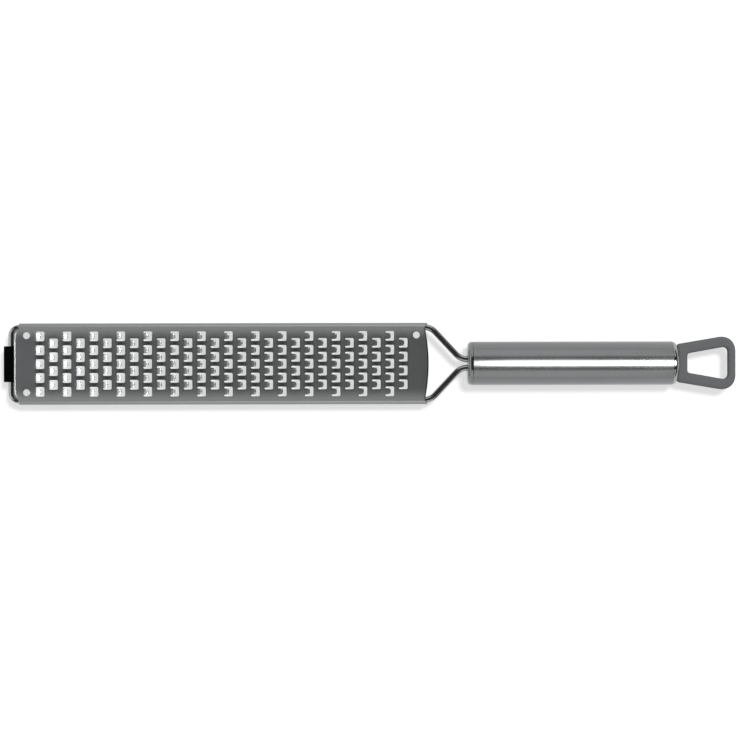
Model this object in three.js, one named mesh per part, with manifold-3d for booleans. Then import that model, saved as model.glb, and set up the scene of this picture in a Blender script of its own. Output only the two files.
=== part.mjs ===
// A flat hand grater: a punched steel blade curled round a bent wire frame,
// a rubber foot on the wire's tip, a round tubular handle and a hanging loop.
// Lengths are millimetres, +X runs from the tip to the handle, +Z is up.
import * as THREE from 'three';
import { mergeVertices } from 'three/addons/utils/BufferGeometryUtils.js';
import Module from 'manifold-3d';

// Fits between pieces
const fitGap = 0.25;
const curlGap = 0.2;

// Wire frame
const wireDiameter = 3.3;
const tipGap = 0.3;
const tipBendRadius = 4;
const neckBendRadius = 7.7;
const neckAngle = 47;
const neckLead = 0.24;
const tailSpacing = 4.6;
const tailLength = 24;

// Grating blade
const bladeLength = 215;
const bladeWidth = 42.5;
const sheetThickness = 0.5;
const curlSweep = 235;
const bladeCornerRadius = 4;
const bladeEndBulge = 1.9;
const neckSetback = 2.25;

// Teeth and the windows they are cut from
const columnPitch = 6.98;
const rowPitch = 7.2;
const columnMargin = 12.5;
const rowMargin = 3.5;
const windowLength = 4.45;
const windowWidth = 5;
const toothLength = 2.3;
const toothWidth = 2.8;
const toothLift = 1.1;
const toothRoot = 0.5;
const toothBevel = 0.35;

// Round locating holes of the blade
const locatingDiameter = 3.5;
const locatingSpread = 14.8;
const locatingTipInset = 6.2;
const locatingNeckInset = 6.45;

// Rubber foot
const footWidth = 18.7;
const footWall = 1.95;
const footCover = 1.05;
const footLip = 1.45;
const footCornerRadius = 2;
const footEdge = 0.7;

// Handle tube and its two caps
const handleDiameter = 22.6;
const handleLength = 109.35;
const tubeWall = 0.8;
const frontCapDepth = 2.6;
const frontCapFillet = 2.2;
const rearCapFillet = 2.6;
const rearCapDome = 0.6;
const capWall = 1.2;
const spigotLength = 5;

// Plug that holds the wire tails
const anchorCover = 2;

// Hanging loop, its tongue and its cross pin
const loopLength = 29.9;
const loopNeckWidth = 19.5;
const loopEndWidth = 30.2;
const loopThickness = 5;
const loopBar = 5.6;
const loopEndBar = 3.9;
const loopBaseBar = 5;
const loopCornerRadius = 7.3;
const loopHoleCorner = 1.4;
const loopHoleEndCorner = 2.5;
const loopEdge = 0.9;
const tongueWidth = 8;
const tongueThickness = 3.6;
const tongueOverhang = 2.5;
const pinDiameter = 2.5;
const pinLength = 12;

// How finely round forms are divided
const wireSides = 12;
const bendSteps = 6;
const boreSides = 20;
const curlSteps = 9;
const turnedSides = 48;
const filletSteps = 5;
const edgeSteps = 2;

// Where the blade lies: x = 0 is its tip end, z = 0 the wire's centre plane
const wireRadius = wireDiameter / 2;
const curlInner = wireRadius + curlGap;
const curlOuter = curlInner + sheetThickness;
const faceUnder = curlInner;
const faceTop = curlOuter;
const railY = bladeWidth / 2 - curlOuter;

// Where the wire bends; a curl may run past the start of a bend while the wire stays clear of it
const curlOverrun = (radius) => Math.sqrt(radius * curlGap);
const tipBarX = -tipGap - wireRadius;
const railStartX = tipBarX + tipBendRadius;
const railEndX = bladeLength - neckSetback;
const curlStartX = railStartX - curlOverrun(tipBendRadius);
const curlEndX = railEndX + curlOverrun(neckBendRadius);
const neckTurn = THREE.MathUtils.degToRad(neckAngle);
const tailY = tailSpacing / 2;
const bendDrop = 2 * neckBendRadius * (1 - Math.cos(neckTurn));
const neckSlant = (railY - tailY - bendDrop) / Math.sin(neckTurn);
const neckRun = 2 * neckBendRadius * Math.sin(neckTurn) + neckSlant * Math.cos(neckTurn);

// Where the handle's pieces start and end
const handleFrontX = railEndX + neckRun + neckLead;
const tailEndX = handleFrontX + tailLength;
const handleRadius = handleDiameter / 2;
const boreRadius = handleRadius - tubeWall;
const spigotRadius = boreRadius - fitGap;
const rearCapDepth = rearCapFillet + rearCapDome;
const tubeStartX = handleFrontX + frontCapDepth;
const tubeEndX = handleFrontX + handleLength - rearCapDepth;
const rearApexX = tubeEndX + rearCapDepth;

// Outer ends of the whole object
const footFrontX = tipBarX - wireRadius - footWall;
const loopEndX = rearApexX + loopLength;

const weldTolerance = 1e-5;
const wasm = await Module();
wasm.setup();

// A closed geometry as a solid for cutting and joining
function solidOf(geometry) {
  const bare = geometry.clone();
  bare.deleteAttribute('normal');
  bare.deleteAttribute('uv');
  const merged = mergeVertices(bare, weldTolerance);
  const vertProperties = new Float32Array(merged.attributes.position.array);
  const triVerts = new Uint32Array(merged.index.array);
  return new wasm.Manifold(new wasm.Mesh({ numProp: 3, vertProperties, triVerts }));
}

// A solid back as a geometry
function geometryOf(solid) {
  const mesh = solid.getMesh();
  const geometry = new THREE.BufferGeometry();
  geometry.setAttribute('position', new THREE.BufferAttribute(mesh.vertProperties, 3));
  geometry.setIndex(new THREE.BufferAttribute(mesh.triVerts, 1));
  geometry.computeVertexNormals();
  return geometry;
}

// A prism over an outline in plan, from one height to another
function plate(shape, bottom, top) {
  const geometry = new THREE.ExtrudeGeometry(shape, {
    depth: top - bottom,
    bevelEnabled: false,
    curveSegments: filletSteps,
  });
  return geometry.translate(0, 0, bottom);
}

// A prism over an outline drawn across the object, its first axis Y and its second Z
function along(shape, fromX, toX) {
  const geometry = new THREE.ExtrudeGeometry(shape, { depth: toX - fromX, bevelEnabled: false });
  geometry.rotateZ(Math.PI / 2).rotateY(Math.PI / 2);
  return geometry.translate(fromX, 0, 0);
}

// A prism over a side outline, its first axis X and its second Z, centred at one y
function across(shape, centreY, width) {
  const geometry = new THREE.ExtrudeGeometry(shape, { depth: width, bevelEnabled: false });
  geometry.rotateX(Math.PI / 2);
  return geometry.translate(0, centreY + width / 2, 0);
}

function block(centreX, centreY, centreZ, sizeX, sizeY, sizeZ) {
  return new THREE.BoxGeometry(sizeX, sizeY, sizeZ).translate(centreX, centreY, centreZ);
}

// A round rod along X
function rodX(radius, fromX, toX, y, z, sides) {
  const geometry = new THREE.CylinderGeometry(radius, radius, toX - fromX, sides);
  return geometry.rotateZ(-Math.PI / 2).translate((fromX + toX) / 2, y, z);
}

// A round rod that stands upright
function rodZ(radius, x, y, bottom, top, sides) {
  const geometry = new THREE.CylinderGeometry(radius, radius, top - bottom, sides);
  return geometry.rotateX(Math.PI / 2).translate(x, y, (bottom + top) / 2);
}

// A turned form about the X axis from pairs of radius and position
function turned(profile, startX) {
  const points = profile.map(([radius, position]) => new THREE.Vector2(radius, position));
  const geometry = new THREE.LatheGeometry(points, turnedSides);
  return geometry.rotateZ(-Math.PI / 2).translate(startX, 0, 0);
}

// Points of a quarter turn between two radii of a turned profile
function fillet(centreRadius, centrePosition, radius, fromAngle, toAngle) {
  const points = [];
  for (let step = 0; step <= filletSteps; step += 1) {
    const angle = fromAngle + ((toAngle - fromAngle) * step) / filletSteps;
    points.push([
      centreRadius + radius * Math.cos(angle),
      centrePosition + radius * Math.sin(angle),
    ]);
  }
  return points;
}

// A wire bent in one plane, leg by leg; each straight leg and each bend keeps its own steps
class BentWire extends THREE.Curve {
  constructor(x, y, heading) {
    super();
    this.position = new THREE.Vector2(x, y);
    this.heading = heading;
    this.legs = [];
    this.steps = 0;
  }

  forward(length) {
    this.addLeg({ length, turn: 0, steps: 1 });
    return this;
  }

  bend(turn, radius) {
    this.addLeg({ length: Math.abs(turn) * radius, turn, steps: bendSteps });
    return this;
  }

  addLeg(leg) {
    leg.start = this.position.clone();
    leg.heading = this.heading;
    this.legs.push(leg);
    this.steps += leg.steps;
    this.position = this.pointOn(leg, 1);
    this.heading += leg.turn;
  }

  pointOn(leg, share) {
    const turn = leg.turn * share;
    const chord = turn === 0 ? leg.length * share : (2 * leg.length * Math.sin(turn / 2)) / leg.turn;
    const direction = leg.heading + turn / 2;
    return new THREE.Vector2(
      leg.start.x + chord * Math.cos(direction),
      leg.start.y + chord * Math.sin(direction),
    );
  }

  locate(t) {
    let place = t * this.steps;
    const leg = this.legs.find((candidate) => {
      const inside = place <= candidate.steps;
      place -= inside ? 0 : candidate.steps;
      return inside;
    });
    return { leg, share: place / leg.steps };
  }

  getPoint(t) {
    const { leg, share } = this.locate(t);
    const point = this.pointOn(leg, share);
    return new THREE.Vector3(point.x, point.y, 0);
  }

  getTangent(t) {
    const { leg, share } = this.locate(t);
    const direction = leg.heading + leg.turn * share;
    return new THREE.Vector3(Math.cos(direction), Math.sin(direction), 0);
  }

  getUtoTmapping(u) {
    return u;
  }
}

function roundOutline(radius, sides) {
  const shape = new THREE.Shape();
  for (let side = 0; side < sides; side += 1) {
    const angle = (side / sides) * 2 * Math.PI;
    const point = [radius * Math.cos(angle), radius * Math.sin(angle)];
    if (side === 0) {
      shape.moveTo(...point);
    } else {
      shape.lineTo(...point);
    }
  }
  shape.closePath();
  return shape;
}

// The wire runs from one tail round the tip and back to the other tail
function wireFrame() {
  const tailRun = tailLength + neckLead;
  const railRun = railEndX - railStartX;
  const wire = new BentWire(tailEndX, tailY, Math.PI);
  wire.forward(tailRun).bend(-neckTurn, neckBendRadius);
  wire.forward(neckSlant).bend(neckTurn, neckBendRadius);
  wire.forward(railRun).bend(Math.PI / 2, tipBendRadius);
  wire.forward(2 * (railY - tipBendRadius)).bend(Math.PI / 2, tipBendRadius);
  wire.forward(railRun).bend(neckTurn, neckBendRadius);
  wire.forward(neckSlant).bend(-neckTurn, neckBendRadius);
  wire.forward(tailRun);
  return new THREE.ExtrudeGeometry(roundOutline(wireRadius, wireSides), {
    steps: wire.steps,
    extrudePath: wire,
  });
}

// The flat face of the blade in plan: rounded corners at the tip, a bowed edge at the neck
function faceOutline() {
  const corner = bladeCornerRadius;
  const shape = new THREE.Shape();
  shape.moveTo(bladeLength - bladeEndBulge, -railY);
  shape.quadraticCurveTo(bladeLength + bladeEndBulge, 0, bladeLength - bladeEndBulge, railY);
  shape.lineTo(corner, railY);
  shape.absarc(corner, railY - corner, corner, Math.PI / 2, Math.PI, false);
  shape.absarc(corner, corner - railY, corner, Math.PI, Math.PI * 1.5, false);
  shape.closePath();
  return shape;
}

// The section of the curled sheet: flat across the face, then round each rail of the wire
function curlOutline() {
  const sweep = THREE.MathUtils.degToRad(curlSweep);
  const inner = [];
  const outer = [];
  for (let step = 0; step <= curlSteps; step += 1) {
    const angle = Math.PI / 2 - (sweep * step) / curlSteps;
    outer.push([railY + curlOuter * Math.cos(angle), curlOuter * Math.sin(angle)]);
    inner.push([railY + curlInner * Math.cos(angle), curlInner * Math.sin(angle)]);
  }
  const half = [...outer, ...inner.reverse()];
  const mirrored = half.map(([y, z]) => [-y, z]).reverse();
  return new THREE.Shape([...half, ...mirrored].map(([y, z]) => new THREE.Vector2(y, z)));
}

// A tooth seen from the side, rising from the tip side of its window to its cutting edge
function toothOutline(windowStart) {
  const buried = sheetThickness / 10;
  const tip = windowStart + toothLength;
  const shape = new THREE.Shape();
  shape.moveTo(windowStart - toothRoot, faceUnder + buried);
  shape.lineTo(windowStart + buried, faceUnder + buried);
  shape.lineTo(tip - toothBevel, faceTop + toothLift - sheetThickness);
  shape.lineTo(tip, faceTop + toothLift);
  shape.lineTo(windowStart - toothRoot, faceTop - buried);
  shape.closePath();
  return shape;
}

// The windows fill the face between its margins, and every second column has one row fewer
function gratingBlade() {
  const through = 4 * sheetThickness;
  const faceMiddle = (faceTop + faceUnder) / 2;
  const gridLength = bladeLength - 2 * columnMargin;
  const gridWidth = 2 * (railY - rowMargin);
  const columns = Math.floor(gridLength / columnPitch) + 1;
  const fullRows = Math.floor(gridWidth / rowPitch) + 1;
  const firstColumn = (bladeLength - (columns - 1) * columnPitch) / 2;
  const windows = [];
  const teeth = [];
  for (let column = 0; column < columns; column += 1) {
    const rows = fullRows - (column % 2);
    const x = firstColumn + column * columnPitch;
    for (let row = 0; row < rows; row += 1) {
      const y = (row - (rows - 1) / 2) * rowPitch;
      windows.push(solidOf(block(x, y, faceMiddle, windowLength, windowWidth, through)));
      teeth.push(solidOf(across(toothOutline(x - windowLength / 2), y, toothWidth)));
    }
  }
  const locatingPlaces = [
    [locatingTipInset, locatingSpread],
    [locatingTipInset, -locatingSpread],
    [bladeLength - locatingNeckInset, locatingSpread],
  ];
  const locating = locatingPlaces.map(([x, y]) =>
    solidOf(rodZ(locatingDiameter / 2, x, y, faceUnder - through, faceTop + through, boreSides)),
  );
  const face = solidOf(plate(faceOutline(), faceUnder, faceTop));
  const curls = solidOf(along(curlOutline(), curlStartX, curlEndX));
  const punched = face.add(curls).subtract(wasm.Manifold.union([...windows, ...locating]));
  return geometryOf(wasm.Manifold.union([punched, ...teeth]));
}

// The foot stands level with the handle's underside and grips the wire in a groove
function tipFoot() {
  const bottom = -handleRadius;
  const top = wireRadius + footCover;
  const depth = footWall + wireRadius + footLip;
  const half = footWidth / 2;
  const shape = new THREE.Shape();
  shape.moveTo(-half, bottom);
  shape.lineTo(half, bottom);
  shape.absarc(half - footCornerRadius, top - footCornerRadius, footCornerRadius, 0, Math.PI / 2, false);
  shape.absarc(
    footCornerRadius - half,
    top - footCornerRadius,
    footCornerRadius,
    Math.PI / 2,
    Math.PI,
    false,
  );
  shape.closePath();
  const geometry = new THREE.ExtrudeGeometry(shape, {
    depth: depth - 2 * footEdge,
    bevelThickness: footEdge,
    bevelSize: footEdge,
    bevelOffset: -footEdge,
    bevelSegments: edgeSteps,
    curveSegments: filletSteps,
  });
  geometry.rotateZ(Math.PI / 2).rotateY(Math.PI / 2).translate(footFrontX + footEdge, 0, 0);
  const grooveRadius = wireRadius + fitGap;
  const groove = new THREE.CylinderGeometry(grooveRadius, grooveRadius, 2 * footWidth, boreSides);
  return geometryOf(solidOf(geometry).subtract(solidOf(groove.translate(tipBarX, 0, 0))));
}

function wireBores(fromX, toX) {
  const radius = wireRadius + fitGap;
  const upper = solidOf(rodX(radius, fromX, toX, tailY, 0, boreSides));
  const lower = solidOf(rodX(radius, fromX, toX, -tailY, 0, boreSides));
  return upper.add(lower);
}

// A turned cup with a filleted front edge and a spigot inside the tube
function frontCap() {
  const profile = [
    [0, 0],
    ...fillet(handleRadius - frontCapFillet, frontCapFillet, frontCapFillet, -Math.PI / 2, 0),
    [handleRadius, frontCapDepth],
    [spigotRadius, frontCapDepth],
    [spigotRadius, frontCapDepth + spigotLength],
    [spigotRadius - capWall, frontCapDepth + spigotLength],
    [spigotRadius - capWall, capWall],
    [0, capWall],
  ];
  const cup = solidOf(turned(profile, handleFrontX));
  return geometryOf(cup.subtract(wireBores(handleFrontX - capWall, tubeStartX)));
}

function handleTube() {
  const profile = [
    [boreRadius, 0],
    [handleRadius, 0],
    [handleRadius, tubeEndX - tubeStartX],
    [boreRadius, tubeEndX - tubeStartX],
    [boreRadius, 0],
  ];
  return turned(profile, tubeStartX);
}

// A plug behind the front cap's spigot, drilled for both wire tails
function wireAnchor() {
  const startX = tubeStartX + spigotLength + fitGap;
  const endX = tailEndX + anchorCover;
  const plug = solidOf(rodX(spigotRadius, startX, endX, 0, 0, turnedSides));
  return geometryOf(plug.subtract(wireBores(startX - capWall, tailEndX + fitGap)));
}

// The outside of the rear cap, grown by a margin where it shapes its neighbour
function rearDome(margin) {
  const radius = handleRadius + margin;
  const corner = rearCapFillet + margin;
  const flatRadius = radius - corner;
  const domeRadius = (flatRadius ** 2 + rearCapDome ** 2) / (2 * rearCapDome);
  const domeAngle = Math.asin(flatRadius / domeRadius);
  const domeCentre = corner + rearCapDome - domeRadius;
  return [
    ...fillet(flatRadius, 0, corner, 0, Math.PI / 2),
    ...fillet(0, domeCentre, domeRadius, Math.PI / 2 - domeAngle, Math.PI / 2).slice(1, -1),
    [0, corner + rearCapDome],
  ];
}

function rearCap() {
  const recess = rearCapFillet - capWall;
  const profile = [
    [0, recess],
    [spigotRadius - capWall, recess],
    [spigotRadius - capWall, -spigotLength],
    [spigotRadius, -spigotLength],
    [spigotRadius, 0],
    ...rearDome(0),
  ];
  const cup = solidOf(turned(profile, tubeEndX));
  const slotWidth = tongueWidth + 2 * fitGap;
  const slotHeight = tongueThickness + 2 * fitGap;
  const slot = block(rearApexX, 0, 0, 2 * rearCapDepth, slotWidth, slotHeight);
  return geometryOf(cup.subtract(solidOf(slot)));
}

// A four-sided outline that widens towards the end, with rounded corners where asked
function taperedOutline(path, startX, endX, startHalf, endHalf, startCorner, endCorner) {
  const corners = [
    [startX, -startHalf, startCorner],
    [endX, -endHalf, endCorner],
    [endX, endHalf, endCorner],
    [startX, startHalf, startCorner],
  ];
  corners.forEach(([x, y, radius], index) => {
    const point = new THREE.Vector2(x, y);
    const [beforeX, beforeY] = corners.at(index - 1);
    const [afterX, afterY] = corners[(index + 1) % corners.length];
    const before = new THREE.Vector2(beforeX, beforeY).sub(point).normalize();
    const after = new THREE.Vector2(afterX, afterY).sub(point).normalize();
    const halfAngle = before.angleTo(after) / 2;
    const setback = radius / Math.tan(halfAngle);
    const centre = before.clone().add(after).normalize();
    centre.multiplyScalar(radius / Math.sin(halfAngle)).add(point);
    const start = before.multiplyScalar(setback).add(point).sub(centre);
    const end = after.multiplyScalar(setback).add(point).sub(centre);
    path.absarc(centre.x, centre.y, radius, start.angle(), end.angle(), false);
  });
  path.closePath();
  return path;
}

// The loop sits on the domed cap, and its tongue runs through the cap's slot to the pin
function hangingLoop(pinX) {
  const startX = tubeEndX;
  const slope = (loopEndWidth - loopNeckWidth) / 2 / loopLength;
  const halfAt = (x) => loopNeckWidth / 2 + slope * (x - rearApexX);
  const sideBar = loopBar * Math.hypot(1, slope);
  const holeStart = rearApexX + loopBaseBar;
  const holeEnd = loopEndX - loopEndBar;
  const outline = new THREE.Shape();
  const seatCorner = 2 * loopEdge;
  taperedOutline(outline, startX, loopEndX, halfAt(startX), halfAt(loopEndX), seatCorner, loopCornerRadius);
  const hole = new THREE.Path();
  const holeStartHalf = halfAt(holeStart) - sideBar;
  const holeEndHalf = halfAt(holeEnd) - sideBar;
  taperedOutline(hole, holeStart, holeEnd, holeStartHalf, holeEndHalf, loopHoleCorner, loopHoleEndCorner);
  outline.holes.push(hole);
  const geometry = new THREE.ExtrudeGeometry(outline, {
    depth: loopThickness - 2 * loopEdge,
    bevelThickness: loopEdge,
    bevelSize: loopEdge,
    bevelOffset: -loopEdge,
    bevelSegments: edgeSteps,
    curveSegments: filletSteps,
  });
  geometry.translate(0, 0, loopEdge - loopThickness / 2);
  const dome = [[0, -spigotLength], [handleRadius + fitGap, -spigotLength], ...rearDome(fitGap)];
  const seated = solidOf(geometry).subtract(solidOf(turned(dome, tubeEndX)));
  const tongueStart = pinX - pinDiameter / 2 - tongueOverhang;
  const tongueEnd = rearApexX + loopBaseBar / 2;
  const tongueMiddle = (tongueStart + tongueEnd) / 2;
  const tongue = block(tongueMiddle, 0, 0, tongueEnd - tongueStart, tongueWidth, tongueThickness);
  const pinHole = rodZ(pinDiameter / 2 + fitGap, pinX, 0, -tongueThickness, tongueThickness, boreSides);
  return geometryOf(seated.add(solidOf(tongue)).subtract(solidOf(pinHole)));
}

// The pin stands across the tongue, close behind the cap's inner face
function loopPin(pinX) {
  return rodZ(pinDiameter / 2, pinX, 0, -pinLength / 2, pinLength / 2, boreSides);
}

const steel = (color, roughness) =>
  new THREE.MeshStandardMaterial({ color, roughness, metalness: 1 });
const bladeSteel = steel(0xa3a7a8, 0.35);
const wireSteel = steel(0xc4c7c9, 0.12);
const tubeSteel = steel(0xa9adae, 0.25);
const capSteel = steel(0xb2b5b7, 0.2);
const loopPlastic = new THREE.MeshStandardMaterial({ color: 0x66696b, roughness: 0.5, metalness: 0 });
const footRubber = new THREE.MeshStandardMaterial({ color: 0x101010, roughness: 0.8, metalness: 0 });
const anchorPlastic = new THREE.MeshStandardMaterial({ color: 0xd8d6d0, roughness: 0.6, metalness: 0 });

const grater = new THREE.Group();
grater.name = 'grater';

function addPiece(name, geometry, material) {
  const mesh = new THREE.Mesh(geometry, material);
  mesh.name = name;
  grater.add(mesh);
}

const pinPlaceX = tubeEndX + rearCapFillet - capWall - fitGap - pinDiameter / 2;
addPiece('grating_blade', gratingBlade(), bladeSteel);
addPiece('wire_frame', wireFrame(), wireSteel);
addPiece('tip_foot', tipFoot(), footRubber);
addPiece('front_cap', frontCap(), capSteel);
addPiece('wire_anchor', wireAnchor(), anchorPlastic);
addPiece('handle_tube', handleTube(), tubeSteel);
addPiece('rear_cap', rearCap(), capSteel);
addPiece('hanging_loop', hangingLoop(pinPlaceX), loopPlastic);
addPiece('loop_pin', loopPin(pinPlaceX), capSteel);

// The origin is the middle of the object's underside
grater.position.set(-(footFrontX + loopEndX) / 2, 0, handleRadius);

export default grater;
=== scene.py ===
import math
import bmesh
import bpy
from mathutils import Matrix, Vector


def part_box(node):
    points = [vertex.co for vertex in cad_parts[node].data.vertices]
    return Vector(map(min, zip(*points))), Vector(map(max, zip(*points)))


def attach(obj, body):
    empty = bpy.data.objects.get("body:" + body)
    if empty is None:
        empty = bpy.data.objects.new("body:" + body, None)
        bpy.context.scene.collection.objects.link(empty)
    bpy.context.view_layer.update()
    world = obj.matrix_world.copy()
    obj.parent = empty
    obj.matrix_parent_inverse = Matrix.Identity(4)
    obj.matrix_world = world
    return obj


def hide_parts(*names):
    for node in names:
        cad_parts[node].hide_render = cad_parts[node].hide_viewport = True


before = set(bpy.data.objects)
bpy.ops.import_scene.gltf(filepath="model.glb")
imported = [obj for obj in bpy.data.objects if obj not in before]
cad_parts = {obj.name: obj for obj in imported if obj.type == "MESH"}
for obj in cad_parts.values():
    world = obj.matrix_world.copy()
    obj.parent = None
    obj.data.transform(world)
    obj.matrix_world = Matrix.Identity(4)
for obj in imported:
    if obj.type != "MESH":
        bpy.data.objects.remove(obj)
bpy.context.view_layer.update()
mm = 0.001  # pieces are modelled in millimetres and brought to metres at the end
near = 0.01  # reach for picking vertices by their place
print("frame loaded:", ", ".join(sorted(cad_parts)))


def nodeBox(node):
    low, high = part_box(node)
    return low / mm, high / mm


bladeLow, bladeHigh = nodeBox("grating_blade")
wireLow, wireHigh = nodeBox("wire_frame")
footLow, footHigh = nodeBox("tip_foot")
frontLow, frontHigh = nodeBox("front_cap")
tubeLow, tubeHigh = nodeBox("handle_tube")
rearLow, rearHigh = nodeBox("rear_cap")
loopLow, loopHigh = nodeBox("hanging_loop")
pinLow, pinHigh = nodeBox("loop_pin")

wireRadius = (wireHigh.z - wireLow.z) / 2
wireZ = (wireHigh.z + wireLow.z) / 2  # also the handle's axis
railY = wireHigh.y - wireRadius
tipBarX = wireLow.x + wireRadius
handleRadius = (tubeHigh.z - tubeLow.z) / 2
turnSteps = 96


def vertsOf(geom):
    return [part for part in geom if isinstance(part, bmesh.types.BMVert)]


def edgesOf(geom):
    return [part for part in geom if isinstance(part, bmesh.types.BMEdge)]


def facesOf(geom):
    return [part for part in geom if isinstance(part, bmesh.types.BMFace)]


def edgesWhere(bm, test):
    return [edge for edge in bm.edges if all(test(vert.co) for vert in edge.verts)]


def pushEdges(bm, edges, offset):
    grown = bmesh.ops.extrude_edge_only(bm, edges=edges)["geom"]
    bmesh.ops.translate(bm, verts=vertsOf(grown), vec=offset)
    return vertsOf(grown), edgesOf(grown)


def roundCorners(bm, verts, size, segments):
    bmesh.ops.bevel(bm, geom=verts, offset=size, offset_type="OFFSET", affect="VERTICES",
                    segments=segments, profile=0.5, material=-1)


def roundEdges(bm, edges, size, segments):
    bmesh.ops.bevel(bm, geom=edges, offset=size, offset_type="OFFSET", affect="EDGES",
                    segments=segments, profile=0.5, material=-1, clamp_overlap=True)


def chainVerts(bm, points, start=None):
    chain = [start] if start else []
    chain += [bm.verts.new(point) for point in points]
    for first, second in zip(chain, chain[1:]):
        bm.edges.new((first, second))
    return chain


def turnRound(bm):
    bmesh.ops.spin(bm, geom=bm.verts[:] + bm.edges[:], cent=(0, 0, wireZ), axis=(1, 0, 0),
                   angle=2 * math.pi, steps=turnSteps, use_merge=True)


def finishPiece(name, bm, material, node):
    bmesh.ops.scale(bm, vec=(mm, mm, mm), verts=bm.verts[:])
    mesh = bpy.data.meshes.new(name)
    bm.to_mesh(mesh)
    bm.free()
    mesh.polygons.foreach_set("use_smooth", [True] * len(mesh.polygons))
    mesh.materials.append(material)
    piece = bpy.data.objects.new(name, mesh)
    bpy.context.scene.collection.objects.link(piece)
    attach(piece, "root")
    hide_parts(node)
    print("made", name, "with", len(mesh.polygons), "faces")
    return piece


def softenEdges(piece, width, segments, angle):
    # each piece gives its width, segments and least angle as soft
    bevel = piece.modifiers.new("softEdges", "BEVEL")
    bevel.width = width * mm
    bevel.segments = segments
    bevel.limit_method = "ANGLE"
    bevel.angle_limit = math.radians(angle)
    bevel.harden_normals = True


# Finishes: three effects that the materials share
grainSpec = {"scale": (900, 900, 900), "detail": 3, "roughness": 0.6}
smudgeSpec = {"scale": 40, "contrast": 1.5, "detail": 4, "roughness": 0.55, "distortion": 0.6, "middle": 0.5}
skinSpec = {"scale": 3000, "detail": 2, "noiseShare": 0.45}


def makeGroup(name, inputs, output):
    tree = bpy.data.node_groups.new(name, "ShaderNodeTree")
    for label, kind, value in inputs:
        socket = tree.interface.new_socket(name=label, in_out="INPUT", socket_type=kind)
        socket.default_value = value
    tree.interface.new_socket(name=output, in_out="OUTPUT", socket_type="NodeSocketFloat")
    return tree, tree.nodes.new("NodeGroupInput"), tree.nodes.new("NodeGroupOutput")


def makeGrain():
    # fine lines left by polishing, stretched by the three scales
    tree, source, result = makeGroup("polishGrain", [
        ("Scale", "NodeSocketVector", grainSpec["scale"])], "Grain")
    place = tree.nodes.new("ShaderNodeTexCoord")
    stretch = tree.nodes.new("ShaderNodeVectorMath")
    stretch.operation = "MULTIPLY"
    noise = tree.nodes.new("ShaderNodeTexNoise")
    noise.inputs["Scale"].default_value = 1
    noise.inputs["Detail"].default_value = grainSpec["detail"]
    noise.inputs["Roughness"].default_value = grainSpec["roughness"]
    tree.links.new(place.outputs["Object"], stretch.inputs[0])
    tree.links.new(source.outputs["Scale"], stretch.inputs[1])
    tree.links.new(stretch.outputs["Vector"], noise.inputs["Vector"])
    tree.links.new(noise.outputs["Fac"], result.inputs["Grain"])
    return tree


def makeSmudge():
    # broad cloudy marks of handling and cleaning
    tree, source, result = makeGroup("handlingSmudge", [
        ("Scale", "NodeSocketFloat", smudgeSpec["scale"]),
        ("Contrast", "NodeSocketFloat", smudgeSpec["contrast"])], "Smudge")
    place = tree.nodes.new("ShaderNodeTexCoord")
    noise = tree.nodes.new("ShaderNodeTexNoise")
    noise.inputs["Detail"].default_value = smudgeSpec["detail"]
    noise.inputs["Roughness"].default_value = smudgeSpec["roughness"]
    noise.inputs["Distortion"].default_value = smudgeSpec["distortion"]
    centre = tree.nodes.new("ShaderNodeMath")
    centre.operation = "SUBTRACT"
    centre.inputs[1].default_value = smudgeSpec["middle"]
    widen = tree.nodes.new("ShaderNodeMath")
    widen.operation = "MULTIPLY_ADD"
    widen.use_clamp = True
    widen.inputs[2].default_value = smudgeSpec["middle"]
    tree.links.new(place.outputs["Object"], noise.inputs["Vector"])
    tree.links.new(source.outputs["Scale"], noise.inputs["Scale"])
    tree.links.new(noise.outputs["Fac"], centre.inputs[0])
    tree.links.new(centre.outputs[0], widen.inputs[0])
    tree.links.new(source.outputs["Contrast"], widen.inputs[1])
    tree.links.new(widen.outputs[0], result.inputs["Smudge"])
    return tree


def makeSpeckle():
    # the dotted skin of moulded plastic and rubber
    tree, source, result = makeGroup("mouldedSkin", [
        ("Scale", "NodeSocketFloat", skinSpec["scale"])], "Skin")
    place = tree.nodes.new("ShaderNodeTexCoord")
    cells = tree.nodes.new("ShaderNodeTexVoronoi")
    cells.feature = "SMOOTH_F1"
    noise = tree.nodes.new("ShaderNodeTexNoise")
    noise.inputs["Detail"].default_value = skinSpec["detail"]
    mix = tree.nodes.new("ShaderNodeMix")
    mix.inputs["Factor"].default_value = skinSpec["noiseShare"]
    tree.links.new(place.outputs["Object"], cells.inputs["Vector"])
    tree.links.new(place.outputs["Object"], noise.inputs["Vector"])
    tree.links.new(source.outputs["Scale"], cells.inputs["Scale"])
    tree.links.new(source.outputs["Scale"], noise.inputs["Scale"])
    tree.links.new(cells.outputs["Distance"], mix.inputs["A"])
    tree.links.new(noise.outputs["Fac"], mix.inputs["B"])
    tree.links.new(mix.outputs["Result"], result.inputs["Skin"])
    return tree


grainGroup = makeGrain()
smudgeGroup = makeSmudge()
skinGroup = makeSpeckle()


def startMaterial(name):
    material = bpy.data.materials.new(name)
    material.use_nodes = True
    tree = material.node_tree
    return material, tree, tree.nodes["Principled BSDF"]


def groupNode(tree, group, **values):
    node = tree.nodes.new("ShaderNodeGroup")
    node.node_tree = group
    for label, value in values.items():
        node.inputs[label].default_value = value
    return node


def mapRange(tree, source, low, high):
    node = tree.nodes.new("ShaderNodeMapRange")
    node.inputs["To Min"].default_value = low
    node.inputs["To Max"].default_value = high
    tree.links.new(source, node.inputs["Value"])
    return node.outputs["Result"]


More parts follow.
